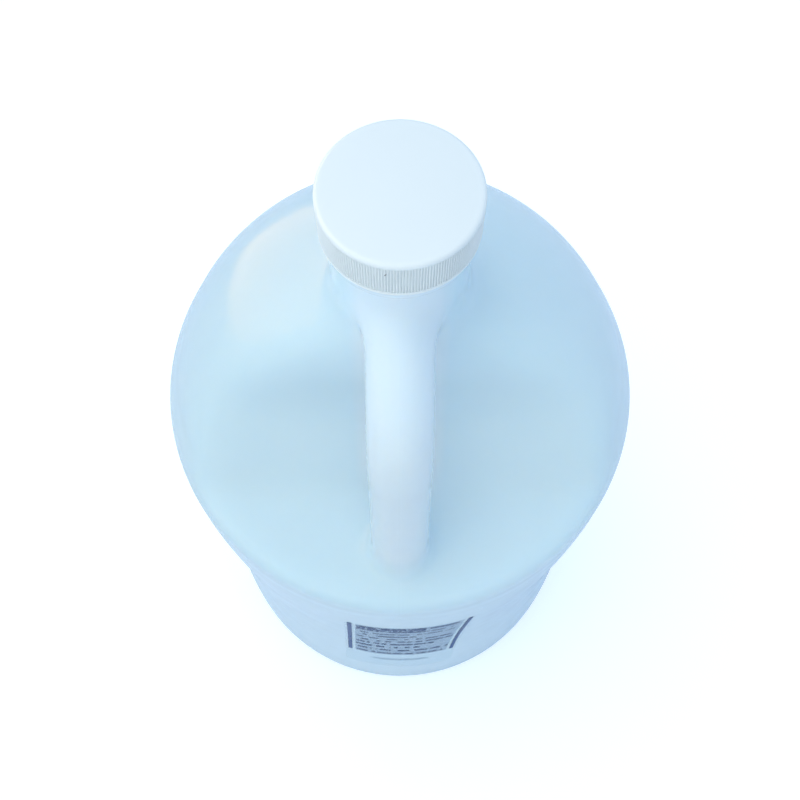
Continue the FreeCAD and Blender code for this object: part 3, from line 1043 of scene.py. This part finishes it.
# floor, light and camera
studio = {
    "floorReach": 3.0,
    "floorColour": (0.80, 0.86, 0.94, 1),
    "floorGlow": 0.40,                     # what the camera alone sees on top, for a white sweep
    "skyBright": (0.81, 0.905, 0.965),     # in front, on the window's side
    "skyDim": (0.45, 0.61, 0.83),
    "panelColour": (1.0, 0.74, 0.50, 1),
    "panelStrength": 1.9,
    "panelDistance": 0.33,
    "panelOutline": [(-0.12, 0.66), (-0.12, 0.385), (0.40, 0.02), (0.80, 0.02), (0.80, 0.66)],
    "topPower": 4.8,
    "topSize": 0.8,
    "topPlace": (-0.2, 0.1, 1.5),
    "beamPower": 8.0,                      # a narrow, nearly level beam on the cap's left side
    "beamPlace": (-0.46, -0.38, 0.36),
    "beamAngle": 6.0,
    "beamBlend": 0.8,
    "beamSoftness": 0.05,
}
cameraSizes = {"place": (0.0, -0.128, 0.495), "down": 68.56, "lens": 45.13}


def litMaterial(name, colour, strength):
    material = bpy.data.materials.new(name)
    material.use_nodes = True
    nodes = material.node_tree.nodes
    glow = nodes.new("ShaderNodeEmission")
    glow.inputs["Color"].default_value = colour
    glow.inputs["Strength"].default_value = strength
    material.node_tree.links.new(glow.outputs[0], nodes["Material Output"].inputs["Surface"])
    return material


def stagePiece(name, corners, material):
    mesh = bpy.data.meshes.new(name)
    mesh.from_pydata(corners, [], [list(range(len(corners)))])
    mesh.materials.append(material)
    piece = bpy.data.objects.new(name, mesh)
    world.objects.link(piece)
    return piece


def makeStudio():
    size = studio
    reach = size["floorReach"]
    material, socket = startMaterial("paperFloor")
    socket["Base Color"].default_value = size["floorColour"]
    socket["Roughness"].default_value = 0.9
    socket["Specular IOR Level"].default_value = 0.0
    socket["Emission Color"].default_value = (1, 1, 1, 1)
    seen = Field(Field.tree.nodes.new("ShaderNodeLightPath").outputs["Is Camera Ray"])
    plug(socket["Emission Strength"], seen * size["floorGlow"])
    corners = [(x * reach, y * reach, 0) for x, y in ((-1, -1), (1, -1), (1, 1), (-1, 1))]
    stagePiece("floor", corners, material)
    # a window-like panel close on the left, out of the camera's sight
    outline = [(-size["panelDistance"], y, z) for y, z in size["panelOutline"]]
    glow = litMaterial("panelGlow", size["panelColour"], size["panelStrength"])
    panel = stagePiece("windowPanel", outline, glow)
    panel.visible_camera = False
    panel.visible_diffuse = False
    lamp = bpy.data.lights.new("topLight", "AREA")
    lamp.energy = size["topPower"]
    lamp.size = size["topSize"]
    top = bpy.data.objects.new("topLight", lamp)
    top.location = size["topPlace"]
    top.visible_glossy = False
    top.visible_camera = False
    world.objects.link(top)
    beam = bpy.data.lights.new("capBeam", "SPOT")
    beam.energy = size["beamPower"]
    beam.spot_size = math.radians(size["beamAngle"])
    beam.spot_blend = size["beamBlend"]
    beam.shadow_soft_size = size["beamSoftness"]
    spot = bpy.data.objects.new("capBeam", beam)
    spot.location = size["beamPlace"]
    aim = Vector((0, 0, (capLow.z + capHigh.z) / 2)) - spot.location
    spot.rotation_euler = aim.to_track_quat("-Z", "Y").to_euler()
    spot.visible_glossy = False
    world.objects.link(spot)
    sky = bpy.data.worlds.new("paleSky")
    sky.use_nodes = True
    Field.tree = sky.node_tree
    side, depth = separated(sky.node_tree.nodes.new("ShaderNodeTexCoord").outputs["Generated"])[:2]
    towardsWindow = limited(0.45 - side * 0.5 - depth * 0.5)
    blended = mixedColour(towardsWindow, size["skyDim"], size["skyBright"])
    plug(sky.node_tree.nodes["Background"].inputs["Color"], blended)
    bpy.context.scene.world = sky
    camera = bpy.data.cameras.new("camera")
    camera.lens = cameraSizes["lens"]
    camera.sensor_width = 36
    camera.clip_start = 0.01
    holder = bpy.data.objects.new("camera", camera)
    holder.location = cameraSizes["place"]
    holder.rotation_euler = (math.radians(90 - cameraSizes["down"]), 0, 0)
    world.objects.link(holder)
    bpy.context.scene.camera = holder
    bpy.context.scene.view_settings.view_transform = "Standard"


makeStudio()
print("studio ready")
